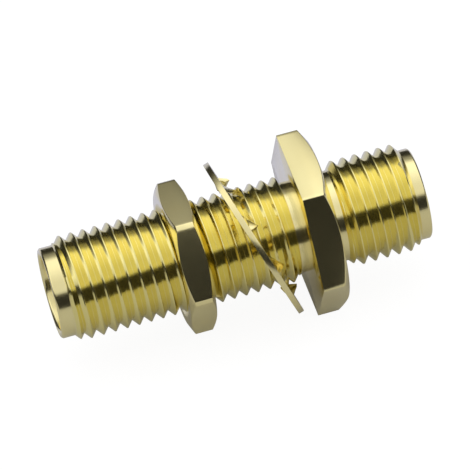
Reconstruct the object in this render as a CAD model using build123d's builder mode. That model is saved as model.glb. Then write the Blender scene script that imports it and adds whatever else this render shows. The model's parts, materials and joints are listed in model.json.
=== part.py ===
from build123d import *
import os
from math import cos, radians, sin, sqrt, tan

# A coaxial bulkhead adapter with a socket at each end, lying on its side. +X runs along its axis
# from the long barrel to the short one. The origin is on the axis, in the flange face that meets
# the panel. Angles round the axis start at +Y and turn towards +Z. Sizes are millimetres.

# Body: lengths along the axis
long_barrel = 14.7
flange_thickness = 1.7
short_barrel = 5.6
pilot_length = 0.8
thread_lead_in = 0.35
long_relief = 0.5
short_relief = 0.65
relief_shoulder = 0.1

# Body: the thread is modelled as rings of its real pitch, depth and 60 degree flanks
thread_pitch = 25.4 / 36
thread_major_radius = 3.1
thread_depth = 0.38
thread_flank_angle = 30
short_crest_flat = 0.088

# Body: turned surfaces, bores and hexagon
pilot_step = 0.07
pilot_edge = 0.1
pilot_wall = 0.34
mouth_depth = 1.9
mouth_edge = 0.12
mouth_ledge = 0.26
flange_across_flats = 9.525
flange_turn = 7.1
flange_face_step = 0.0625
flange_chamfer_angle = 30

# Contact and its insulators
contact_radius = 0.635
contact_recess = 0.1
collar_radius = 0.95
collar_width = 0.8
socket_radius = 0.47
socket_depth = 2.9
socket_edge = 0.07
drill_point = 0.27
slot_width = 0.15
slot_length = 2.4
press_fit = 0.01

# Hex nut, some way down the long barrel
nut_flat_wall = 0.8
nut_thickness = 1.55
nut_distance = 5.9
nut_turn = -2
nut_face_step = 0.07
nut_chamfer_angle = 24
nut_clearance = 0.05
nut_countersink = 0.2
corner_margin = 0.04

# Lock washer with twisted inner teeth, loose and leaning on the long barrel
washer_distance = 2.6
washer_thickness = 0.33
washer_ring_width = 1.05
washer_lean = 19.1
washer_lean_direction = 72.5
tooth_count = 8
tooth_first_angle = 5.6
tooth_reach = 0.4
tooth_length = 0.5
tooth_width = 1.45
tooth_twist = 26
tooth_root_overlap = 0.12
tooth_straight = 0.05

# Sizes that follow from those above
long_end = -long_barrel
short_end = flange_thickness + short_barrel
long_reference = long_end + mouth_depth
short_reference = short_end - mouth_depth
thread_root_radius = thread_major_radius - thread_depth
plain_radius = thread_root_radius - pilot_step
mouth_radius = plain_radius - pilot_wall
core_radius = mouth_radius - mouth_ledge
middle =(long_reference + short_reference) / 2
flange_chamfer_radius = flange_across_flats / 2 - flange_face_step
nut_across_flats = 2 * (thread_major_radius + nut_flat_wall)
nut_chamfer_radius = nut_across_flats / 2 - nut_face_step
tooth_tip = thread_major_radius + tooth_reach
ring_inner = tooth_tip + tooth_length
washer_radius = ring_inner + washer_ring_width


def around(angle, radius=1.0):
    """A vector across the axis, at an angle from +Y towards +Z."""
    return Vector(0, radius * cos(radians(angle)), radius * sin(radians(angle)))


def beyond_corners(across_flats):
    """A radius just outside the corners of a hexagon."""
    return across_flats / sqrt(3) + corner_margin


def across(x, angle=0.0):
    """The plane across the axis at x, with its own x axis at the angle."""
    return Plane(origin=(x, 0, 0), x_dir=around(angle), z_dir=(1, 0, 0))


def grooves(start, end, crest_flat=0):
    """Profile points of as many thread grooves as fit between two stations, counted from the end."""
    mouth = thread_pitch - crest_flat
    root_flat = mouth - 2 * thread_depth * tan(radians(thread_flank_angle))
    count = int((end - start - crest_flat) / thread_pitch)
    points = []
    for step in range(count - 1, -1, -1):
        centre = end - crest_flat - mouth / 2 - step * thread_pitch
        if crest_flat or not points:
            points.append((centre - mouth / 2, thread_major_radius))
        points.append((centre - root_flat / 2, thread_root_radius))
        points.append((centre + root_flat / 2, thread_root_radius))
        points.append((centre + mouth / 2, thread_major_radius))
    return points


# One turned piece: the hex flange, the two barrels through it, then the bore with its two mouths
with BuildPart() as connector_body:
    with BuildSketch(across(0, flange_turn)):
        RegularPolygon(flange_across_flats / 2, 6, major_radius=False)
    extrude(amount=flange_thickness)
    with BuildSketch(Plane.XZ):
        with BuildLine():
            reach = beyond_corners(flange_across_flats)
            slope = (reach - flange_chamfer_radius) * tan(radians(flange_chamfer_angle))
            Polyline(
                (0, 0),
                (0, reach),
                (flange_thickness - slope, reach),
                (flange_thickness, flange_chamfer_radius),
                (flange_thickness, 0),
                close=True,
            )
        make_face()
    revolve(axis=Axis.X, mode=Mode.INTERSECT)

    with BuildSketch(Plane.XZ):
        with BuildLine():
            long_thread = (long_end + pilot_length + thread_lead_in, -long_relief - relief_shoulder)
            short_start = flange_thickness + short_relief + relief_shoulder
            short_thread = (short_start, short_end - pilot_length - thread_lead_in)
            Polyline(
                (long_end, 0),
                (long_end, plain_radius - pilot_edge),
                (long_end + pilot_edge, plain_radius),
                (long_end + pilot_length, plain_radius),
                *grooves(*long_thread),
                (-long_relief, plain_radius),
                (flange_thickness + short_relief, plain_radius),
                (short_start, thread_major_radius),
                *grooves(*short_thread, short_crest_flat),
                (short_thread[1], thread_major_radius),
                (short_end - pilot_length, plain_radius),
                (short_end - pilot_edge, plain_radius),
                (short_end, plain_radius - pilot_edge),
                (short_end, 0),
                close=True,
            )
        make_face()
    revolve(axis=Axis.X)

    with BuildSketch(Plane.XZ):
        with BuildLine():
            Polyline(
                (long_end, 0),
                (long_end, mouth_radius + mouth_edge),
                (long_end + mouth_edge, mouth_radius),
                (long_reference, mouth_radius),
                (long_reference, core_radius),
                (short_reference, core_radius),
                (short_reference, mouth_radius),
                (short_end - mouth_edge, mouth_radius),
                (short_end, mouth_radius + mouth_edge),
                (short_end, 0),
                close=True,
            )
        make_face()
    revolve(axis=Axis.X, mode=Mode.SUBTRACT)
connector_body.part.label = "connector_body"


def insulator(reference, sign):
    """A plastic sleeve from one reference plane to the middle, with half of the collar's recess."""
    bore = contact_radius + press_fit
    recess = collar_radius + press_fit
    with BuildPart() as sleeve:
        with BuildSketch(Plane.XZ):
            with BuildLine():
                Polyline(
                    (reference, bore),
                    (reference, core_radius - press_fit),
                    (middle, core_radius - press_fit),
                    (middle, recess),
                    (middle - sign * collar_width / 2, recess),
                    (middle - sign * collar_width / 2, bore),
                    close=True,
                )
            make_face()
        revolve(axis=Axis.X)
    return sleeve


long_side_insulator = insulator(long_reference, 1)
long_side_insulator.part.label = "long_side_insulator"
short_side_insulator = insulator(short_reference, -1)
short_side_insulator.part.label = "short_side_insulator"


# A pin with a collar in its middle and a slotted socket bored in each end
with BuildPart() as centre_contact:
    contact_start = long_reference + contact_recess
    contact_end = short_reference - contact_recess
    with BuildSketch(Plane.XZ):
        with BuildLine():
            Polyline(
                (contact_start, socket_radius + socket_edge),
                (contact_start, contact_radius),
                (middle - collar_width / 2, contact_radius),
                (middle - collar_width / 2, collar_radius),
                (middle + collar_width / 2, collar_radius),
                (middle + collar_width / 2, contact_radius),
                (contact_end, contact_radius),
                (contact_end, socket_radius + socket_edge),
                (contact_end - socket_edge, socket_radius),
                (contact_end - socket_depth, socket_radius),
                (contact_end - socket_depth - drill_point, 0),
                (contact_start + socket_depth + drill_point, 0),
                (contact_start + socket_depth, socket_radius),
                (contact_start + socket_edge, socket_radius),
                close=True,
            )
        make_face()
    revolve(axis=Axis.X)
    for tip, depth in ((contact_start, slot_length), (contact_end, -slot_length)):
        with BuildSketch(across(tip)):
            Rectangle(slot_width, 3 * contact_radius)
            Rectangle(3 * contact_radius, slot_width)
        extrude(amount=depth, mode=Mode.SUBTRACT)
centre_contact.part.label = "centre_contact"


# The nut: a hexagon chamfered on both sides, with a countersunk bore that clears the thread
with BuildPart() as hex_nut:
    nut_near = -nut_distance
    nut_far = nut_near - nut_thickness
    nut_bore = thread_major_radius + nut_clearance
    with BuildSketch(across(nut_far, nut_turn)):
        RegularPolygon(nut_across_flats / 2, 6, major_radius=False)
    extrude(amount=nut_thickness)
    with BuildSketch(Plane.XZ):
        with BuildLine():
            reach = beyond_corners(nut_across_flats)
            slope = (reach - nut_chamfer_radius) * tan(radians(nut_chamfer_angle))
            Polyline(
                (nut_far, nut_bore + nut_countersink),
                (nut_far, nut_chamfer_radius),
                (nut_far + slope, reach),
                (nut_near - slope, reach),
                (nut_near, nut_chamfer_radius),
                (nut_near, nut_bore + nut_countersink),
                (nut_near - nut_countersink, nut_bore),
                (nut_far + nut_countersink, nut_bore),
                close=True,
            )
        make_face()
    revolve(axis=Axis.X, mode=Mode.INTERSECT)
hex_nut.part.label = "hex_nut"


# The washer: a flat ring whose inner teeth are each twisted about their own radius
washer_normal = Vector(cos(radians(washer_lean)), 0, 0) + around(washer_lean_direction, sin(radians(washer_lean)))
washer_plane = Plane(
    origin=(-washer_distance, 0, 0),
    x_dir=around(washer_lean_direction + 90),
    z_dir=washer_normal,
)
with BuildPart() as lock_washer:
    with BuildSketch(washer_plane):
        Circle(washer_radius)
        Circle(ring_inner, mode=Mode.SUBTRACT)
    extrude(amount=washer_thickness / 2, both=True)
    for tooth in range(tooth_count):
        angle = radians(tooth_first_angle + tooth * 360 / tooth_count)
        outward = washer_plane.x_dir * cos(angle) + washer_plane.y_dir * sin(angle)
        sideways = washer_normal.cross(outward)
        sections = (
            (ring_inner + tooth_root_overlap, 0),
            (ring_inner - tooth_straight, 0),
            (tooth_tip, tooth_twist),
        )
        for radius, twist in sections:
            with BuildSketch(Plane(washer_plane.origin + outward * radius, x_dir=sideways, z_dir=outward)):
                Rectangle(tooth_width, washer_thickness, rotation=twist)
        loft(ruled=True)
lock_washer.part.label = "lock_washer"


os.makedirs("parts", exist_ok=True)
export_step(connector_body.part, "parts/connector_body.step")
export_step(long_side_insulator.part, "parts/long_side_insulator.step")
export_step(short_side_insulator.part, "parts/short_side_insulator.step")
export_step(centre_contact.part, "parts/centre_contact.step")
export_step(hex_nut.part, "parts/hex_nut.step")
export_step(lock_washer.part, "parts/lock_washer.step")
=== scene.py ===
"""Dresses the coaxial bulkhead adapter: threads, rounded edges, gold plating, plain studio stage.

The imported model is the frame. Threaded pieces are turned here by bmesh operators and stand for
their plain nodes, and the inner pieces keep their own meshes and get a finish.
"""
import json
from math import atan2, ceil, cos, floor, hypot, pi, radians, sin, tan

import bmesh
import bpy
from bpy.props import FloatProperty, FloatVectorProperty, IntProperty, PointerProperty
from mathutils import Matrix, Vector


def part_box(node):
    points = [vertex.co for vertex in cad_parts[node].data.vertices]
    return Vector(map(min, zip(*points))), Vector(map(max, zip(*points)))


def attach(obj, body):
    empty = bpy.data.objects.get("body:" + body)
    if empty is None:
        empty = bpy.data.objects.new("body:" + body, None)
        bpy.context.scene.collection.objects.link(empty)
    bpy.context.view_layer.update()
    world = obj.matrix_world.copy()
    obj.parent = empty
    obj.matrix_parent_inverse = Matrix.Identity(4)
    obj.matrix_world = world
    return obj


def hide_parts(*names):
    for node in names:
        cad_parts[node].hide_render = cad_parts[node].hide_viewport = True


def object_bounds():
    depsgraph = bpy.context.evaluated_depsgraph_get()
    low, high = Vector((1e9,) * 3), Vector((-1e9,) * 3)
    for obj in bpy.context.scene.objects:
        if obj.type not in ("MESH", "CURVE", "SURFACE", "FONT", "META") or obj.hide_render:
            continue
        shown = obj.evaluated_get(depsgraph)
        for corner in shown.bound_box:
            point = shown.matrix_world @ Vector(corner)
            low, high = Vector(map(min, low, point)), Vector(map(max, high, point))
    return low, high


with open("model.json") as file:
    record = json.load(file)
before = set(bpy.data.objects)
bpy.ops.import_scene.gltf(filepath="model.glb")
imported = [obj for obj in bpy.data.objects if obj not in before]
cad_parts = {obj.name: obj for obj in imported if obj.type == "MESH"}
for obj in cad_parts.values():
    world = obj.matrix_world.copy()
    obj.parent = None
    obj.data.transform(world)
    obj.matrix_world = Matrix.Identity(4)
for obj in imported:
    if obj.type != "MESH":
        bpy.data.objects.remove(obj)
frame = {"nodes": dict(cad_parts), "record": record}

bl_info = {
    "name": "Coaxial bulkhead adapter",
    "version": (1, 0, 0),
    "blender": (4, 5, 0),
    "location": "View3D > Sidebar > Adapter",
    "description": "Threads, edges and gold plating for a bulkhead adapter, and its studio stage",
    "category": "Add Mesh",
}

MM = 0.001
TURN = 2 * pi
CAD_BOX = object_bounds()

BODY_LOW, BODY_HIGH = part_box("connector_body")
NUT_LOW, NUT_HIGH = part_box("hex_nut")
MOUNTS = {mount["name"]: mount for mount in frame["record"]["mounts"]}
MAJOR_RADIUS = MOUNTS["short_thread"]["dims"]["r_mm"] * MM
MOUTH_RADIUS = MOUNTS["long_mouth"]["dims"]["r_mm"] * MM

# Vertices nearer than this are one, and outer edges that turn by more than this angle are rounded
WELD = 0.0005 * MM
SHARP_TURN = radians(20)

# Where the factor, the two colours and the result are among a mix node's many sockets
MIX_INPUTS = (0, 6, 7)
MIX_RESULT = 2


class SocketMath:
    """A node socket that takes part in ordinary sums. Numbers alone are worked out in Python."""

    def __init__(self, tree, socket):
        self.tree = tree
        self.socket = socket

    def node(self, kind, settings=None, **values):
        """Adds any other node and returns it, with its settings made before its sockets are fed."""
        made = self.tree.nodes.new(kind)
        for name, setting in (settings or {}).items():
            setattr(made, name, setting)
        for name, value in values.items():
            self.feed(made.inputs[name.replace("_", " ")], value)
        return made

    def feed(self, target, value):
        """Links a socket, or sets a plain value."""
        if isinstance(value, SocketMath):
            self.tree.links.new(value.socket, target)
        elif isinstance(value, bpy.types.NodeSocket):
            self.tree.links.new(value, target)
        else:
            target.default_value = value

    def math(self, operation, *terms, clamp=False):
        """Adds a Math node over sockets and numbers."""
        made = self.tree.nodes.new("ShaderNodeMath")
        made.operation = operation
        made.use_clamp = clamp
        for place, term in zip(made.inputs, terms):
            self.feed(place, term)
        return SocketMath(self.tree, made.outputs[0])

    def __add__(self, other):
        return self.math("ADD", self, other)

    __radd__ = __add__

    def __sub__(self, other):
        return self.math("SUBTRACT", self, other)

    def __rsub__(self, other):
        return self.math("SUBTRACT", other, self)

    def __mul__(self, other):
        return self.math("MULTIPLY", self, other)

    __rmul__ = __mul__

    def __truediv__(self, other):
        return self.math("DIVIDE", self, other)

    def __rtruediv__(self, other):
        return self.math("DIVIDE", other, self)

    def __pow__(self, other):
        return self.math("POWER", self, other)

    def smooth(self, low, high):
        """0 below low, 1 above high, with a soft step between."""
        step = self.node("ShaderNodeMapRange", {"interpolation_type": "SMOOTHSTEP"}, Value=self,
                         From_Min=low, From_Max=high)
        return SocketMath(self.tree, step.outputs["Result"])

    def noise(self, scale, detail=2.0, roughness=0.5, stretch=(1, 1, 1)):
        """Noise over a vector socket, stretched along its axes."""
        mapping = self.node("ShaderNodeMapping", None, Vector=self, Scale=stretch)
        cloud = self.node("ShaderNodeTexNoise", None, Vector=mapping.outputs["Vector"], Scale=scale,
                          Detail=detail, Roughness=roughness)
        return SocketMath(self.tree, cloud.outputs["Fac"])

    def blend(self, first, second):
        """A colour mix with this value as its factor."""
        mix = self.node("ShaderNodeMix", {"data_type": "RGBA"})
        for place, value in zip(MIX_INPUTS, (self, first, second)):
            self.feed(mix.inputs[place], value)
        return SocketMath(self.tree, mix.outputs[MIX_RESULT])

    def axes(self):
        """The three parts of a vector socket."""
        split = self.node("ShaderNodeSeparateXYZ", None, Vector=self)
        return [SocketMath(self.tree, socket) for socket in split.outputs]


def emptied(tree):
    """Clears a node tree, and returns what adds nodes and sums to it."""
    tree.nodes.clear()
    return SocketMath(tree, None)


def new_material(name):
    """A material with a bare shader, and the piece's own coordinates in millimetres."""
    material = bpy.data.materials.new(name)
    material.use_nodes = True
    start = emptied(material.node_tree)
    shader = start.node("ShaderNodeBsdfPrincipled")
    start.node("ShaderNodeOutputMaterial", None, Surface=shader.outputs["BSDF"])
    coordinates = start.node("ShaderNodeTexCoord").outputs["Object"]
    scaled = start.node("ShaderNodeVectorMath", {"operation": "SCALE"}, Vector=coordinates, Scale=1 / MM)
    return material, shader, SocketMath(start.tree, scaled.outputs["Vector"])


def tint(colour, factor):
    """A colour with each channel scaled, opaque."""
    return tuple(channel * share for channel, share in zip(colour, factor)) + (1.0,)


def add_relief(place, shader, height, strength, distance):
    """Gives a shader fine relief from a height."""
    bump = place.node("ShaderNodeBump", None, Height=height, Strength=strength, Distance=distance)
    place.feed(shader.inputs["Normal"], bump.outputs["Normal"])


def gold_material(name, look, grain_scale, line_strength, roughness, grain_stretch=(1, 1, 1),
                  share=(1, 1, 1)):
    """Gold plating over brass, in one tone of it: turning lines, a satin grain and warmer patches."""
    material, shader, place = new_material(name)
    # share tints the gold's colour; for the threads this tint is painted bounce light, deeper and less blue
    colour = tint(look.plating_colour, share)
    around_the_axis, mean = (1.0, 0.02, 0.02), 0.5
    grain = place.noise(grain_scale, detail=3.0, roughness=0.6, stretch=grain_stretch)
    cloud = place.noise(look.cloud_scale)
    lines = place.noise(look.line_scale, roughness=0.7, stretch=around_the_axis)
    rough = roughness + (grain - mean) * look.grain_roughness + (cloud - mean) * look.cloud_roughness
    place.feed(shader.inputs["Base Color"], cloud.blend(colour, tint(colour, look.warm_share)))
    place.feed(shader.inputs["Roughness"], rough)
    shader.inputs["Metallic"].default_value = 1.0
    add_relief(place, shader, lines * line_strength + grain * look.grain_depth, look.bump_strength,
               look.bump_distance)
    return material


def insulator_material(look):
    """White dielectric with a faint waxy mottling and turning rings."""
    material, shader, place = new_material("white_dielectric")
    y, z = place.axes()[1:]
    dull_white, clear_white = (0.80, 0.79, 0.76, 1), (0.88, 0.87, 0.85, 1)
    smoothest, roughness_swing, ring_share, strength = 0.42, 0.12, 0.5, 0.15
    mottle = place.noise(scale=1.4, detail=3.0)
    rings = place.math("SINE", (y * y + z * z) ** 0.5 * look.ring_count)
    place.feed(shader.inputs["Base Color"], mottle.blend(dull_white, clear_white))
    place.feed(shader.inputs["Roughness"], smoothest + mottle * roughness_swing)
    add_relief(place, shader, rings * ring_share + mottle, strength, look.bump_distance)
    return material

def floor_material(stage):
    """A pale floor. The camera sees it white with a faint shadow, and metal sees only a lit stretch."""
    material = bpy.data.materials.new("pale_floor")
    material.use_nodes = True
    start = emptied(material.node_tree)
    rays = start.node("ShaderNodeLightPath").outputs
    seen = SocketMath(start.tree, rays["Is Camera Ray"])
    mirrored = start.math("MAXIMUM", rays["Is Glossy Ray"], rays["Is Transmission Ray"])
    x, y = SocketMath(start.tree, start.node("ShaderNodeTexCoord").outputs["Object"]).axes()[:2]
    beside = x.math("ABSOLUTE", x)
    tone_start, tone_end = 3 * MM, 9 * MM
    white, back_tone = (1, 1, 1, 1), tuple(stage.floor_back) + (1,)
    in_metal = y.smooth(tone_start, tone_end).blend(white, back_tone)
    near = (y.smooth(-stage.floor_front - stage.floor_fade, -stage.floor_front)
            * (1 - y.smooth(stage.floor_behind, stage.floor_behind + stage.floor_fade))
            * (1 - beside.smooth(stage.floor_front, stage.floor_front + stage.floor_fade)))
    own = seen * stage.floor_own + mirrored * stage.floor_in_metal
    diffuse = start.node("ShaderNodeBsdfDiffuse", None, Color=(stage.floor_grey,) * 3 + (1,))
    light = start.node("ShaderNodeEmission", None, Color=seen.blend(in_metal, white), Strength=own)
    dark = start.node("ShaderNodeEmission", None, Strength=stage.gap)
    lit = start.node("ShaderNodeMixShader", None, Fac=seen * stage.floor_shadow_share)
    both = start.node("ShaderNodeAddShader")
    faded = start.node("ShaderNodeMixShader", None, Fac=mirrored * (1 - near))
    output = start.node("ShaderNodeOutputMaterial")
    for shader, target in ((diffuse, lit.inputs[1]), (lit, both.inputs[0]), (light, both.inputs[1]),
                           (both, faded.inputs[1]), (dark, faded.inputs[2]),
                           (faded, output.inputs["Surface"])):
        start.feed(target, shader.outputs[0])
    return material
def polar(vertex):
    """Radius and angle of a vertex round the X axis, the angle from +Y towards +Z."""
    return hypot(vertex.co.y, vertex.co.z), atan2(vertex.co.z, vertex.co.y)


def place_at(vertex, x, radius):
    """Moves a vertex to a station and a radius, at the angle that it has."""
    angle = polar(vertex)[1]
    vertex.co = (x, radius * cos(angle), radius * sin(angle))


def hexagon_radius(angle, apothem, corner_angle, corner_flat=0.0):
    """The outline of a hexagon at an angle, with a narrow flat of the given width on each corner."""
    side = pi / 3
    from_corner = (angle - corner_angle + side / 2) % side - side / 2
    to_flat = apothem / cos(side / 2) - corner_flat / 2 / tan(side)
    return min(apothem / cos(side / 2 - abs(from_corner)), to_flat / cos(from_corner))


def thread_outline(thread, start, end):
    """A row of teeth as (x, radius) points, with a crest at each whole pitch."""
    foot_half = thread.pitch / 2 - thread.root_half
    points = []
    for count in range(floor(start / thread.pitch) - 1, ceil(end / thread.pitch) + 2):
        for x, radius in ((-foot_half, thread.root_radius), (-thread.crest_half, thread.crest_radius),
                          (thread.crest_half, thread.crest_radius), (foot_half, thread.root_radius)):
            points.append((count * thread.pitch + x, radius))
    return points


def open_edges(bm, x):
    """The open edges at a station."""
    return [e for e in bm.edges if e.is_boundary and all(abs(v.co.x - x) < WELD for v in e.verts)]


def cut_at(bm, station, side=1, clear=False):
    """Cuts all faces at a station, and clears what lies beyond it on one side where that is asked."""
    bmesh.ops.bisect_plane(bm, geom=bm.verts[:] + bm.edges[:] + bm.faces[:], dist=WELD,
                           plane_co=(station, 0, 0), plane_no=(side, 0, 0), clear_outer=clear)


def cut_rings(bm, foot, top, slices):
    """Adds evenly spaced rings of edges, from just past one station up to another."""
    for count in range(1, slices + 1):
        cut_at(bm, foot + (top - foot) * count / slices)


def screw_surface(bm, thread, steps, first_angle, start, end):
    """Spins a row of teeth about X, one pitch a turn, and cuts it square at both ends."""
    points = thread_outline(thread, start - thread.pitch, end + thread.pitch)
    shift = thread.pitch * first_angle / TURN + thread.phase
    turn = Matrix.Rotation(first_angle, 4, "X")
    row = [bm.verts.new(turn @ Vector((x + shift, radius, 0))) for x, radius in points]
    for pair in zip(row, row[1:]):
        bm.edges.new(pair)
    inner = [v for v in row if len(v.link_edges) == 2]
    bmesh.ops.bevel(bm, geom=inner, offset=thread.rounding, segments=2, profile=0.5, affect="VERTICES",
                    material=-1)
    wires = [v for v in bm.verts if v.is_wire] + [e for e in bm.edges if e.is_wire]
    bmesh.ops.spin(bm, geom=wires, cent=(0, 0, 0), axis=(1, 0, 0), dvec=(thread.pitch / steps, 0, 0),
                   angle=TURN, steps=steps, use_merge=False, use_duplicate=False)
    bmesh.ops.remove_doubles(bm, verts=bm.verts[:], dist=WELD)
    cut_at(bm, start, -1, clear=True)
    cut_at(bm, end, 1, clear=True)


def extrude_loop(bm, loop, shape):
    """Extrudes an open loop and puts each new vertex where shape(angle) says, as (x, radius)."""
    made = bmesh.ops.extrude_edge_only(bm, edges=loop)["geom"]
    for vertex in (g for g in made if isinstance(g, bmesh.types.BMVert)):
        x, radius = shape(polar(vertex)[1])
        place_at(vertex, x, radius)
    return [g for g in made if isinstance(g, bmesh.types.BMEdge)]


def turned(x, radius):
    """A round station for extrude_loop."""
    return lambda angle: (x, radius)


def soften_edges(bm, width, within, sharpness=SHARP_TURN):
    """Rounds the outer edges that pass a test and turn by more than an angle."""
    edges = [e for e in bm.edges
             if e.is_manifold and e.is_convex and e.calc_face_angle() > sharpness and within(e)]
    bmesh.ops.bevel(bm, geom=edges, offset=width, segments=2, profile=0.5, affect="EDGES", material=-1,
                    clamp_overlap=True)


def finish_mesh(bm, name, materials, body, nodes, smooth_angle, takes_second=None):
    """Closes up a bmesh as a piece that rides on a body and stands for its nodes.

    Faces that the test picks take the second material, and all others the first."""
    bmesh.ops.remove_doubles(bm, verts=bm.verts[:], dist=WELD)
    bmesh.ops.dissolve_degenerate(bm, edges=bm.edges[:], dist=WELD)
    bmesh.ops.recalc_face_normals(bm, faces=bm.faces[:])
    if takes_second:
        for face in bm.faces:
            face.material_index = int(takes_second(face))
    open_count = sum(not e.is_manifold for e in bm.edges)
    if open_count:
        print(f"{name}: {open_count} edges aren't closed")
    mesh = bpy.data.meshes.new(name)
    bm.to_mesh(mesh)
    bm.free()
    mesh.shade_smooth()
    mesh.set_sharp_from_angle(angle=smooth_angle)
    for material in materials:
        mesh.materials.append(material)
    piece = bpy.data.objects.new(name, mesh)
    bpy.context.scene.collection.objects.link(piece)
    piece.modifiers.new("Even facets", "WEIGHTED_NORMAL").keep_sharp = True
    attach(piece, body)
    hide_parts(*nodes)


class AdapterThread(bpy.types.PropertyGroup):
    """The thread on both barrels and in the nut."""

    pitch: FloatProperty(name="Pitch", description="Travel in one turn", default=25.4 / 36 * MM,
                         unit="LENGTH", precision=6)
    root_radius: FloatProperty(name="Root radius", description="Bottom of the groove", default=2.69 * MM,
                               unit="LENGTH", precision=6)
    crest_half: FloatProperty(name="Half crest", description="Half the width of a crest",
                              default=0.03 * MM, unit="LENGTH", precision=6)
    root_half: FloatProperty(name="Half root", description="Half the width of a groove's bottom",
                             default=0.01 * MM, unit="LENGTH", precision=6)
    rounding: FloatProperty(name="Rounding", description="How much crests and roots are rounded",
                            default=0.009 * MM, unit="LENGTH", precision=6)
    long_drop: FloatProperty(name="Long side drop", description="How much lower the long barrel's crests are",
                             default=0.04 * MM, unit="LENGTH", precision=6)
    long_phase: FloatProperty(name="Long side phase", description="Shift of the long barrel's thread",
                              default=-0.06 * MM, unit="LENGTH", precision=6)
    short_phase: FloatProperty(name="Short side phase", description="Shift of the short barrel's thread",
                               default=0.58 * MM, unit="LENGTH", precision=6)
    nut_gap: FloatProperty(name="Nut gap", description="Play between nut and barrel", default=0.05 * MM,
                           unit="LENGTH", precision=6)
    steps: IntProperty(name="Steps", description="Facets round one turn", default=192, min=24)


class AdapterBody(bpy.types.PropertyGroup):
    """Turned lengths of the body, beyond what the frame says."""

    flange_thickness: FloatProperty(name="Flange", description="Thickness of the hex flange",
                                    default=1.7 * MM, unit="LENGTH", precision=6)
    flange_corner: FloatProperty(name="Flange turn", description="Angle of the first flange corner",
                                 default=radians(7.1), subtype="ANGLE")
    flange_flats: FloatProperty(name="Across flats", description="Width of the flange over its flats",
                                default=9.525 * MM, unit="LENGTH", precision=6)
    flange_step: FloatProperty(name="Face step", description="From the flats to the chamfer's inner edge",
                               default=0.0625 * MM, unit="LENGTH", precision=6)
    flange_chamfer: FloatProperty(name="Chamfer", description="Slope of the flange's chamfer",
                                  default=radians(30), subtype="ANGLE")
    plain_radius: FloatProperty(name="Plain radius", description="Pilot bands and reliefs",
                                default=2.65 * MM, unit="LENGTH", precision=6)
    long_pilot: FloatProperty(name="Long pilot", description="Plain band at the long barrel's end",
                              default=0.8 * MM, unit="LENGTH", precision=6)
    short_pilot: FloatProperty(name="Short pilot", description="Plain band at the short barrel's end",
                               default=0.62 * MM, unit="LENGTH", precision=6)
    lead_in: FloatProperty(name="Lead in", description="Length of the cone where the thread starts",
                           default=0.35 * MM, unit="LENGTH", precision=6)
    long_relief: FloatProperty(name="Long relief", description="Plain groove before the flange",
                               default=0.5 * MM, unit="LENGTH", precision=6)
    short_relief: FloatProperty(name="Short relief", description="Plain groove behind the flange",
                                default=0.65 * MM, unit="LENGTH", precision=6)
    shoulder: FloatProperty(name="Shoulder", description="Where the thread runs out into a relief",
                            default=0.1 * MM, unit="LENGTH", precision=6)
    run_out: FloatProperty(name="Run out", description="Length over which the short side's thread rises",
                           default=0.42 * MM, unit="LENGTH", precision=6)
    pilot_edge: FloatProperty(name="Pilot edge", description="Chamfer at each end", default=0.1 * MM,
                              unit="LENGTH", precision=6)
    mouth_edge: FloatProperty(name="Mouth edge", description="Chamfer inside each mouth",
                              default=0.12 * MM, unit="LENGTH", precision=6)
    mouth_depth: FloatProperty(name="Mouth depth", description="From the end to the insulator",
                               default=1.9 * MM, unit="LENGTH", precision=6)
    core_radius: FloatProperty(name="Core radius", description="Bore that holds the insulators",
                               default=2.05 * MM, unit="LENGTH", precision=6)
    edge_round: FloatProperty(name="Edge rounding", description="Rounding of outer edges",
                              default=0.03 * MM, unit="LENGTH", precision=6)


class AdapterNut(bpy.types.PropertyGroup):
    """The panel nut."""

    flats: FloatProperty(name="Across flats", description="Width of the nut over its flats",
                         default=7.86 * MM, unit="LENGTH", precision=6)
    corner_flat: FloatProperty(name="Corner flat", description="Width of the narrow flat on each corner",
                               default=0.28 * MM, unit="LENGTH", precision=6)
    steps: IntProperty(name="Steps", description="Facets round one turn", default=198, min=24)
    face_step: FloatProperty(name="Face step", description="From the flats to the chamfer's inner edge",
                             default=0.07 * MM, unit="LENGTH", precision=6)
    chamfer: FloatProperty(name="Chamfer", description="Slope of the corner chamfers", default=radians(24),
                           subtype="ANGLE")
    countersink: FloatProperty(name="Countersink", description="Chamfer at each end of its thread",
                               default=0.2 * MM, unit="LENGTH", precision=6)
    corner: FloatProperty(name="First corner", description="Angle of the first corner",
                          default=radians(-0.8), subtype="ANGLE")


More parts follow.
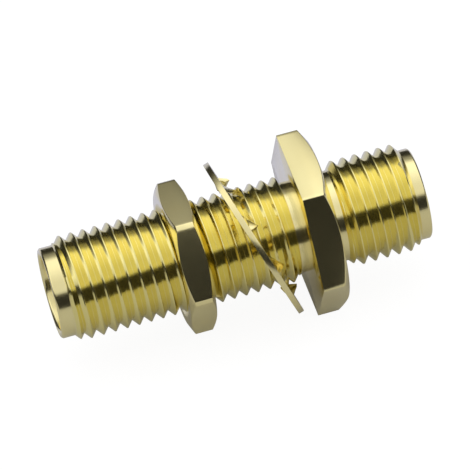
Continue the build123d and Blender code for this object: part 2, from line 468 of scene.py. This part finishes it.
class AdapterWasher(bpy.types.PropertyGroup):
    """The tooth washer that leans on the long barrel."""

    distance: FloatProperty(name="Distance", description="From its centre to the flange",
                            default=2.6 * MM, unit="LENGTH", precision=6)
    lean: FloatProperty(name="Lean", description="Tilt of the washer on the barrel",
                        default=radians(19.1), subtype="ANGLE")
    lean_direction: FloatProperty(name="Lean direction", description="Which way it leans",
                                  default=radians(72.5), subtype="ANGLE")
    radius: FloatProperty(name="Radius", description="Outer radius", default=5.05 * MM, unit="LENGTH",
                          precision=6)
    ring: FloatProperty(name="Ring", description="Width of the plain ring", default=1.05 * MM,
                        unit="LENGTH", precision=6)
    thickness: FloatProperty(name="Thickness", description="Thickness of the sheet",
                             default=0.33 * MM, unit="LENGTH", precision=6)
    tooth_tip: FloatProperty(name="Tooth tip", description="Radius that the teeth reach in to",
                             default=3.5 * MM, unit="LENGTH", precision=6)
    tooth_width: FloatProperty(name="Tooth width", description="Width of each tooth",
                               default=1.45 * MM, unit="LENGTH", precision=6)
    root_half_angle: FloatProperty(name="Half root", description="Half the angle that a tooth's root spans",
                                   default=radians(10.6), subtype="ANGLE")
    tooth_twist: FloatProperty(name="Tooth twist", description="Twist of each tooth's tip",
                               default=radians(26), subtype="ANGLE")
    tooth_rise: FloatProperty(name="Tooth rise", description="How far the tips are bent to the flange's side",
                              default=0.2 * MM, unit="LENGTH", precision=6)
    first_tooth: FloatProperty(name="First tooth", description="Angle of the first tooth",
                               default=radians(5.6), subtype="ANGLE")
    teeth: IntProperty(name="Teeth", description="How many teeth", default=8, min=3)


class AdapterLook(bpy.types.PropertyGroup):
    """Colours and finish."""

    plating_colour: FloatVectorProperty(name="Plating", description="Colour of the gold plating",
                                        default=(0.95, 0.86, 0.46), subtype="COLOR", min=0, max=1)
    warm_share: FloatVectorProperty(name="Warm share", description="How the warmer patches differ",
                                    default=(0.97, 0.93, 0.85), min=0, max=2)
    # Painted bounce light: the threads' gold is made deeper and less blue, to stand for light bounced between
    # the thread flanks
    thread_bounce_tint: FloatVectorProperty(name="Thread bounce tint", description="How the threads' gold differs",
                                      default=(0.98, 0.98, 0.78), min=0, max=2)
    cloud_scale: FloatProperty(name="Cloud scale", description="Patches per mm", default=0.55)
    line_scale: FloatProperty(name="Line scale", description="Turning lines per mm", default=9.0)
    grain_depth: FloatProperty(name="Grain depth", description="Share of the grain in the bump",
                               default=0.35)
    grain_roughness: FloatProperty(name="Grain roughness", description="Roughness swing of the grain",
                                   default=0.12)
    cloud_roughness: FloatProperty(name="Cloud roughness", description="Roughness swing of patches",
                                   default=0.08)
    bump_strength: FloatProperty(name="Bump strength", description="Strength of fine relief",
                                 default=0.35, subtype="FACTOR", min=0, max=1)
    bump_distance: FloatProperty(name="Bump distance", description="Height of fine relief",
                                 default=0.006 * MM, unit="LENGTH", precision=7)
    ring_count: FloatProperty(name="Insulator rings", description="Turning rings per mm", default=60.0)


class AdapterStage(bpy.types.PropertyGroup):
    """Camera, light and floor."""

    yaw: FloatProperty(name="Yaw", description="Camera's turn from square on", default=radians(6.65),
                       subtype="ANGLE")
    rise: FloatProperty(name="Rise", description="Camera's height over the horizon",
                        default=radians(39.1), subtype="ANGLE")
    roll: FloatProperty(name="Roll", description="How far the axis rises to the right",
                        default=radians(15.31), subtype="ANGLE")
    distance: FloatProperty(name="Distance", description="From the camera to the part",
                            default=320 * MM, unit="LENGTH")
    lens: FloatProperty(name="Lens", description="Focal length in mm", default=430.0)
    drop: FloatProperty(name="Drop", description="How far the part sits below the middle, in pixels",
                        default=8.0)
    floor_size: FloatProperty(name="Floor", description="Width of the floor", default=1.2, unit="LENGTH")
    floor_front: FloatProperty(name="Floor in front", description="How far forward metal sees it lit",
                               default=0.055, unit="LENGTH")
    floor_behind: FloatProperty(name="Floor behind", description="How far back metal sees it lit",
                                default=0.09, unit="LENGTH")
    floor_fade: FloatProperty(name="Floor fade", description="Over what length that light fades",
                              default=0.01, unit="LENGTH")
    floor_own: FloatProperty(name="Floor's own white", description="What the camera sees with no lamp",
                             default=0.93)
    floor_grey: FloatProperty(name="Floor grey", description="How light the floor is", default=0.5,
                              subtype="FACTOR", min=0, max=1)
    floor_shadow_share: FloatProperty(name="Shadow held back", description="How faint its shadow looks",
                                      default=0.72, subtype="FACTOR", min=0, max=1)
    floor_in_metal: FloatProperty(name="Floor in metal", description="What metal and glass see of it",
                                  default=0.1)
    floor_back: FloatVectorProperty(name="Floor's back tone", description="Tone of the floor behind",
                                    default=(1.9, 2.1, 4.2), min=0)
    softbox: FloatProperty(name="Softbox", description="Level of the overhead light", default=1.45)
    gap: FloatProperty(name="Dark gap", description="Level between light and backdrop", default=0.03)


def orientation(stage):
    """The camera's direction from the part, with its right and up, from the stage's angles."""
    yaw, rise, roll = stage.yaw, stage.rise, stage.roll
    back = Vector((-sin(yaw), -cos(yaw) * cos(rise), cos(yaw) * sin(rise)))
    level = Vector((cos(yaw), -sin(yaw) * cos(rise), sin(yaw) * sin(rise)))
    upright = back.cross(level)
    right = level * cos(roll) - upright * sin(roll)
    up = level * sin(roll) + upright * cos(roll)
    return back, right, up


class ThreadForm:
    """A thread for screw_surface, with its radii and phase."""

    def __init__(self, settings, crest_radius, crest_half, root_radius, root_half, phase):
        self.pitch = settings.pitch
        self.rounding = settings.rounding
        self.crest_radius = crest_radius
        self.crest_half = crest_half
        self.root_radius = root_radius
        self.root_half = root_half
        self.phase = phase


def barrel(scene, body, crest_radius, start, end, cones, phase):
    """One threaded barrel between two stations, with cones given by their foot and their top."""
    thread = scene.adapter_thread
    form = ThreadForm(thread, crest_radius, thread.crest_half, thread.root_radius, thread.root_half, phase)
    bm = bmesh.new()
    screw_surface(bm, form, thread.steps, body.flange_corner, start, end)
    for foot, top in cones:
        cut_rings(bm, foot, top, slices=7)
        for vertex in bm.verts:
            share = max(0.0, (vertex.co.x - foot) / (top - foot))
            limit = body.plain_radius + share * (crest_radius - body.plain_radius)
            if polar(vertex)[0] > limit:
                place_at(vertex, vertex.co.x, limit)
    return bm


def turn_flange(bm, loop, body, inner):
    """Takes an open loop up the flange's flat face, over its six sides and down its chamfered face."""
    apothem, thickness = body.flange_flats / 2, body.flange_thickness

    def outline(angle):
        return hexagon_radius(angle, apothem, body.flange_corner)

    def chamfer(angle):
        return thickness - max(0.0, outline(angle) - inner) * tan(body.flange_chamfer), outline(angle)

    loop = extrude_loop(bm, loop, lambda angle: (0, outline(angle)))
    loop = extrude_loop(bm, loop, chamfer)
    loop = extrude_loop(bm, loop, lambda angle: (thickness, min(inner, outline(angle))))
    extrude_loop(bm, loop, turned(thickness, body.plain_radius))


def turn_mouth(bm, loop, body, end, inward, bore_end):
    """Takes an open loop over a barrel's end, into its mouth and down the bore to a station."""
    plain, core = body.plain_radius, body.core_radius
    for x, radius in ((end + inward * body.pilot_edge, plain), (end, plain - body.pilot_edge),
                      (end, MOUTH_RADIUS + body.mouth_edge), (end + inward * body.mouth_edge, MOUTH_RADIUS),
                      (end + inward * body.mouth_depth, MOUTH_RADIUS),
                      (end + inward * body.mouth_depth, core), (bore_end, core)):
        loop = extrude_loop(bm, loop, turned(x, radius))


class ADAPTER_OT_body(bpy.types.Operator):
    """Turns the body: two threaded barrels, their reliefs and pilots, the hex flange and the bore"""

    bl_idname = "adapter.body"
    bl_label = "Body"

    def execute(self, context):
        scene = context.scene
        body, thread, look = scene.adapter_body, scene.adapter_thread, scene.adapter_look
        left, right = BODY_LOW.x, BODY_HIGH.x
        plain, flange = body.plain_radius, body.flange_thickness
        inner = body.flange_flats / 2 - body.flange_step

        left_start, left_end = left + body.long_pilot, -body.long_relief - body.shoulder
        bm = barrel(scene, body, MAJOR_RADIUS - thread.long_drop, left_start, left_end,
                    [(left_start, left_start + body.lead_in)], thread.long_phase)
        loop = extrude_loop(bm, open_edges(bm, left_end), turned(-body.long_relief, plain))
        loop = extrude_loop(bm, loop, turned(0, plain))
        turn_flange(bm, loop, body, inner)
        turn_mouth(bm, open_edges(bm, left_start), body, left, 1, 0)
        left_mesh = bpy.data.meshes.new("left_half")
        bm.to_mesh(left_mesh)
        bm.free()

        right_start, relief_end = right - body.short_pilot, flange + body.short_relief
        bm = barrel(scene, body, MAJOR_RADIUS, relief_end + body.shoulder, right_start,
                    [(right_start, right_start - body.lead_in), (relief_end, relief_end + body.run_out)],
                    thread.short_phase)
        extrude_loop(bm, open_edges(bm, relief_end + body.shoulder), turned(relief_end, plain))
        turn_mouth(bm, open_edges(bm, right_start), body, right, -1, flange)
        bm.from_mesh(left_mesh)
        bpy.data.meshes.remove(left_mesh)
        off_radius = 0.02 * MM
        for near, far, radius in ((flange, relief_end, plain), (0, flange, body.core_radius)):
            pair = [e for e in bm.edges if e.is_boundary
                    and all(min(abs(v.co.x - near), abs(v.co.x - far)) < WELD for v in e.verts)
                    and abs(polar(e.verts[0])[0] - radius) < off_radius]
            bmesh.ops.bridge_loops(bm, edges=pair)
        bmesh.ops.recalc_face_normals(bm, faces=bm.faces[:])

        def on_flange(edge):
            return all(-WELD <= v.co.x <= flange + WELD and polar(v)[0] > inner - WELD for v in edge.verts)

        def on_ends(edge):
            return all(v.co.x < left + body.mouth_edge + WELD or v.co.x > right - body.mouth_edge - WELD
                       for v in edge.verts)

        # Faces on the thread take the second gold, which carries the painted bounce light
        def on_thread(face):
            middle = face.calc_center_median()
            return (hypot(middle.y, middle.z) > thread.root_radius - WELD
                    and (left_start < middle.x < -body.long_relief or relief_end < middle.x < right_start))

        share_at_ends = 0.7
        soften_edges(bm, body.edge_round, on_flange)
        soften_edges(bm, body.edge_round * share_at_ends, on_ends)
        # The second gold is the same plating, tinted deeper and less blue as painted light bounced between
        # the thread flanks
        materials = (gold_material("gold_turned", look, grain_scale=22.0, line_strength=1.0, roughness=0.17),
                     gold_material("gold_thread_painted_bounce", look, grain_scale=22.0, line_strength=1.0, roughness=0.15,
                                   share=look.thread_bounce_tint))
        finish_mesh(bm, "threaded_body", materials, "connector", ["connector_body"],
                    smooth_angle=radians(35), takes_second=on_thread)
        return {"FINISHED"}


class ADAPTER_OT_nut(bpy.types.Operator):
    """Makes the panel nut, with chamfered corners and its own inner thread"""

    bl_idname = "adapter.nut"
    bl_label = "Hex nut"

    def execute(self, context):
        scene = context.scene
        nut, thread, look = scene.adapter_nut, scene.adapter_thread, scene.adapter_look
        far, near = NUT_LOW.x, NUT_HIGH.x
        apothem = nut.flats / 2
        inner = apothem - nut.face_step
        root = MAJOR_RADIUS + thread.nut_gap
        gaps_at_crest = 1.5
        crest = thread.root_radius + gaps_at_crest * thread.nut_gap
        sink = root + nut.countersink
        form = ThreadForm(thread, crest, thread.root_half, root, thread.crest_half,
                          thread.pitch / 2 + thread.long_phase)
        bm = bmesh.new()
        screw_surface(bm, form, nut.steps, nut.corner, far, near)
        for end, side in ((far, 1), (near, -1)):
            cut_rings(bm, end, end + side * (sink - crest), slices=8)
        for vertex in bm.verts:
            limit = sink - min(vertex.co.x - far, near - vertex.co.x)
            if polar(vertex)[0] < limit:
                place_at(vertex, vertex.co.x, limit)

        def outline(angle):
            return hexagon_radius(angle, apothem, nut.corner, nut.corner_flat)

        def drop(angle):
            return max(0.0, outline(angle) - inner) * tan(nut.chamfer)

        loop = extrude_loop(bm, open_edges(bm, far), lambda angle: (far, min(inner, outline(angle))))
        loop = extrude_loop(bm, loop, lambda angle: (far + drop(angle), outline(angle)))
        loop = extrude_loop(bm, loop, lambda angle: (near - drop(angle), outline(angle)))
        extrude_loop(bm, loop, lambda angle: (near, min(inner, outline(angle))))
        bmesh.ops.bridge_loops(bm, edges=open_edges(bm, near))
        bmesh.ops.recalc_face_normals(bm, faces=bm.faces[:])
        soften_edges(bm, scene.adapter_body.edge_round,
                     lambda edge: all(polar(v)[0] > inner - WELD for v in edge.verts))
        material = gold_material("gold_milled", look, grain_scale=26.0, line_strength=0.4, roughness=0.17,
                                 grain_stretch=(1, 0.5, 1))
        finish_mesh(bm, "panel_nut", [material], "nut", ["hex_nut"],
                    smooth_angle=radians(28))
        return {"FINISHED"}


class ADAPTER_OT_washer(bpy.types.Operator):
    """Makes the tooth washer: a ring whose inner teeth are drawn inwards and twisted"""

    bl_idname = "adapter.washer"
    bl_label = "Lock washer"

    def execute(self, context):
        scene = context.scene
        washer, look = scene.adapter_washer, scene.adapter_look
        inner = washer.radius - washer.ring
        half = washer.thickness / 2
        facets_per_tooth = 15
        columns = facets_per_tooth * washer.teeth
        bm = bmesh.new()
        corners = [(-half, inner), (-half, washer.radius), (half, washer.radius), (half, inner)]
        row = [bm.verts.new((x, radius, 0)) for x, radius in corners]
        edges = [bm.edges.new(pair) for pair in zip(row, row[1:] + row[:1])]
        bmesh.ops.rotate(bm, verts=row, cent=(0, 0, 0), matrix=Matrix.Rotation(-TURN / columns / 2, 3, "X"))
        bmesh.ops.spin(bm, geom=row + edges, cent=(0, 0, 0), axis=(1, 0, 0), angle=TURN, steps=columns,
                       use_merge=True, use_duplicate=False)
        bmesh.ops.remove_doubles(bm, verts=bm.verts[:], dist=WELD)
        wall = [f for f in bm.faces if all(polar(v)[0] < inner + WELD for v in f.verts)]
        for tooth in range(washer.teeth):
            self.draw_tooth(bm, wall, washer, inner, TURN * tooth / washer.teeth)
        bmesh.ops.recalc_face_normals(bm, faces=bm.faces[:])
        soften_edges(bm, scene.adapter_body.edge_round, lambda edge: True, sharpness=radians(40))
        normal = Vector((cos(washer.lean), sin(washer.lean) * cos(washer.lean_direction),
                         sin(washer.lean) * sin(washer.lean_direction)))
        first = washer.lean_direction + pi / 2
        x_dir = Vector((0, cos(first), sin(first)))
        turn = Matrix((normal, x_dir, normal.cross(x_dir))).transposed()
        spin = Matrix.Rotation(washer.first_tooth, 3, "X")
        bmesh.ops.transform(bm, matrix=(turn @ spin).to_4x4(), verts=bm.verts[:])
        bmesh.ops.translate(bm, vec=(-washer.distance, 0, 0), verts=bm.verts[:])
        material = gold_material("gold_stamped", look, grain_scale=18.0, line_strength=0.3, roughness=0.22)
        finish_mesh(bm, "tooth_washer", [material], "washer", ["lock_washer"],
                    smooth_angle=radians(35))
        return {"FINISHED"}

    def draw_tooth(self, bm, wall, washer, inner, middle):
        """Draws the faces of the inner wall round an angle inwards, and twists and bends them on the way."""
        outward = Vector((0, cos(middle), sin(middle)))
        sideways = Vector((0, -sin(middle), cos(middle)))
        root_reach = inner * cos(washer.root_half_angle)
        faces = [f for f in wall if f.is_valid and f.calc_center_median().dot(outward) > root_reach]
        half_span = max(v.co.dot(sideways) for f in faces for v in f.verts)
        straight_end, bend_end, tip_start = 0.05 * MM, 0.2 * MM, 0.15 * MM
        bend_share, tip_share = 0.35, 0.8
        stages = ((inner - straight_end, 0.0), (inner - bend_end, bend_share),
                  (washer.tooth_tip + tip_start, tip_share), (washer.tooth_tip, 1.0))
        widen, twisted = washer.tooth_width / 2 / half_span, 0.0
        for reach, share in stages:
            made = bmesh.ops.extrude_face_region(bm, geom=faces)["geom"]
            bmesh.ops.delete(bm, geom=faces, context="FACES")
            faces = [g for g in made if isinstance(g, bmesh.types.BMFace)]
            step = Matrix.Rotation(washer.tooth_twist * (share - twisted), 3, outward)
            for vertex in {v for f in faces for v in f.verts}:
                across = sideways * vertex.co.dot(sideways) * widen
                flat = Vector((vertex.co.x - washer.tooth_rise * twisted, 0, 0)) + across
                vertex.co = outward * reach + step @ flat
                vertex.co.x += washer.tooth_rise * share
            widen, twisted = 1.0, share


class ADAPTER_OT_inside(bpy.types.Operator):
    """Gives the insulators and the contact their finish"""

    bl_idname = "adapter.inside"
    bl_label = "Insulators and contact"

    def execute(self, context):
        look = context.scene.adapter_look
        white = insulator_material(look)
        gold = gold_material("gold_contact", look, grain_scale=30.0, line_strength=0.6, roughness=0.16)
        for node, material in (("long_side_insulator", white), ("short_side_insulator", white),
                               ("centre_contact", gold)):
            mesh = frame["nodes"][node].data
            mesh.materials.clear()
            mesh.materials.append(material)
            mesh.shade_smooth()
            mesh.set_sharp_from_angle(angle=radians(30))
        return {"FINISHED"}


class ADAPTER_OT_stage(bpy.types.Operator):
    """Sets the camera, the overhead light and the pale floor"""

    bl_idname = "adapter.stage"
    bl_label = "Stage"

    def execute(self, context):
        stage = context.scene.adapter_stage
        self.add_camera(context, stage)
        self.add_floor(context, stage)
        self.add_world(context, stage)
        context.scene.view_settings.view_transform = "Standard"
        return {"FINISHED"}

    def add_camera(self, context, stage):
        sensor, pixels = 36.0, 470
        nearest, farthest = 0.1, 20
        back, right, up = orientation(stage)
        centre = Vector(((BODY_LOW.x + BODY_HIGH.x) / 2, 0, 0))
        pixel = stage.distance * sensor / stage.lens / pixels
        data = bpy.data.cameras.new("Camera")
        data.lens = stage.lens
        data.sensor_width = sensor
        data.clip_start = stage.distance * nearest
        data.clip_end = stage.distance * farthest
        camera = bpy.data.objects.new("Camera", data)
        context.scene.collection.objects.link(camera)
        spot = centre + back * stage.distance + up * (stage.drop * pixel)
        camera.matrix_world = Matrix.Translation(spot) @ Matrix((right, up, back)).transposed().to_4x4()
        context.scene.camera = camera

    def add_floor(self, context, stage):
        bm = bmesh.new()
        bmesh.ops.create_grid(bm, x_segments=1, y_segments=1, size=stage.floor_size / 2)
        bmesh.ops.translate(bm, vec=(0, 0, CAD_BOX[0].z), verts=bm.verts[:])
        mesh = bpy.data.meshes.new("Floor")
        bm.to_mesh(mesh)
        bm.free()
        mesh.materials.append(floor_material(stage))
        floor = bpy.data.objects.new("Floor", mesh)
        context.scene.collection.objects.link(floor)

    def add_world(self, context, stage):
        world = bpy.data.worlds.new("Studio")
        context.scene.world = world
        world.use_nodes = True
        start = emptied(world.node_tree)
        direction = start.node("ShaderNodeTexCoord").outputs["Generated"]
        x, y, z = SocketMath(start.tree, direction).axes()
        # Degrees from the horizon in front, over the top, to the horizon behind
        height = start.math("ARCTAN2", z, y * -1) * (180 / pi)
        softbox_edge, backdrop_edge, far_edge = (28, 36), (122, 140), (140, 160)
        swell_stretch, side_stretch = (55, 110), (0.05, 0.2)
        first_drop, front_level, left_level, right_gain = 0.75, 0.68, 0.95, 0.09
        behind = first_drop * height.smooth(*backdrop_edge) + (1 - first_drop) * height.smooth(*far_edge)
        overhead = height.smooth(*softbox_edge) * (1 - behind)
        swell = front_level + (1 - front_level) * height.smooth(*swell_stretch)
        side = left_level + right_gain * x.smooth(*side_stretch)
        level = stage.gap + overhead * swell * side * stage.softbox
        seen = SocketMath(start.tree, start.node("ShaderNodeLightPath").outputs["Is Camera Ray"])
        background = start.node("ShaderNodeBackground", None, Strength=seen + (1 - seen) * level)
        start.node("ShaderNodeOutputWorld", None, Surface=background.outputs[0])


class ADAPTER_PT_panel(bpy.types.Panel):
    """Lists the pieces of the adapter"""

    bl_idname = "ADAPTER_PT_panel"
    bl_label = "Bulkhead adapter"
    bl_space_type = "VIEW_3D"
    bl_region_type = "UI"
    bl_category = "Adapter"

    def draw(self, context):
        for piece in PIECES:
            self.layout.operator(piece.bl_idname)


PIECES = (ADAPTER_OT_body, ADAPTER_OT_nut, ADAPTER_OT_washer, ADAPTER_OT_inside, ADAPTER_OT_stage)
SETTINGS = {
    "adapter_thread": AdapterThread,
    "adapter_body": AdapterBody,
    "adapter_nut": AdapterNut,
    "adapter_washer": AdapterWasher,
    "adapter_look": AdapterLook,
    "adapter_stage": AdapterStage,
}


def register():
    for settings in SETTINGS.values():
        bpy.utils.register_class(settings)
    for piece in PIECES:
        bpy.utils.register_class(piece)
    bpy.utils.register_class(ADAPTER_PT_panel)
    for name, settings in SETTINGS.items():
        setattr(bpy.types.Scene, name, PointerProperty(type=settings))


def unregister():
    for name in SETTINGS:
        delattr(bpy.types.Scene, name)
    bpy.utils.unregister_class(ADAPTER_PT_panel)
    for piece in reversed(PIECES):
        bpy.utils.unregister_class(piece)
    for settings in reversed(SETTINGS.values()):
        bpy.utils.unregister_class(settings)


def main():
    """Dresses the loaded frame."""
    register()
    for piece in PIECES:
        group, name = piece.bl_idname.split(".")
        getattr(getattr(bpy.ops, group), name)()


if __name__ == "__main__":
    main()
